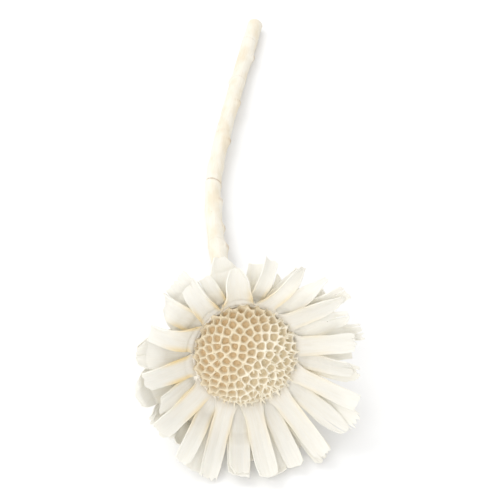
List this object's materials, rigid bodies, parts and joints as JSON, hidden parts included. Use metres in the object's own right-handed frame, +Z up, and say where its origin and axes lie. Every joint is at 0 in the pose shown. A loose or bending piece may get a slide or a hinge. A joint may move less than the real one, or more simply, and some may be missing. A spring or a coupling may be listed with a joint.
{
  "type": "dried protea flower",
  "caption": "Bleached, dried protea head with a honeycomb disc ringed by cut papery straps, lying on its side on a woody cut stem.",
  "frame": {"origin": "on the table, under the middle of the flower's bounding box", "axes": "+Z up; the stem runs away along +Y; the face looks towards -Y and upwards"},
  "size_m": [0.064, 0.2124, 0.056],
  "materials": {
    "bract": "matt, fibrous, bleached ivory",
    "receptacle": "matt, pale tan pits with ivory walls",
    "stem": "matt, bleached bark"
  },
  "bodies": {
    "root": {"basal_bract_01": "bract", "basal_bract_02": "bract", "basal_bract_03": "bract", "basal_bract_04": "bract", "basal_bract_05": "bract", "basal_bract_06": "bract", "inner_bract_01": "bract", "inner_bract_02": "bract", "inner_bract_03": "bract", "inner_bract_04": "bract", "inner_bract_05": "bract", "inner_bract_06": "bract", "inner_bract_07": "bract", "inner_bract_08": "bract", "inner_bract_09": "bract", "inner_bract_10": "bract", "inner_bract_11": "bract", "inner_bract_12": "bract", "outer_bract_01": "bract", "outer_bract_02": "bract", "outer_bract_03": "bract", "outer_bract_04": "bract", "outer_bract_05": "bract", "outer_bract_06": "bract", "outer_bract_07": "bract", "outer_bract_08": "bract", "outer_bract_09": "bract", "outer_bract_10": "bract", "outer_bract_11": "bract", "receptacle": "receptacle", "second_bract_01": "bract", "second_bract_02": "bract", "second_bract_03": "bract", "second_bract_04": "bract", "second_bract_05": "bract", "second_bract_06": "bract", "second_bract_07": "bract", "second_bract_08": "bract", "second_bract_09": "bract", "second_bract_10": "bract", "second_bract_11": "bract", "second_bract_12": "bract", "stem": "stem", "third_bract_01": "bract", "third_bract_02": "bract", "third_bract_03": "bract", "third_bract_04": "bract", "third_bract_05": "bract", "third_bract_06": "bract", "third_bract_07": "bract", "third_bract_08": "bract", "third_bract_09": "bract", "third_bract_10": "bract", "third_bract_11": "bract", "third_bract_12": "bract", "third_bract_13": "bract", "third_bract_14": "bract", "third_bract_15": "bract", "third_bract_16": "bract"}
  },
  "joints": []
}
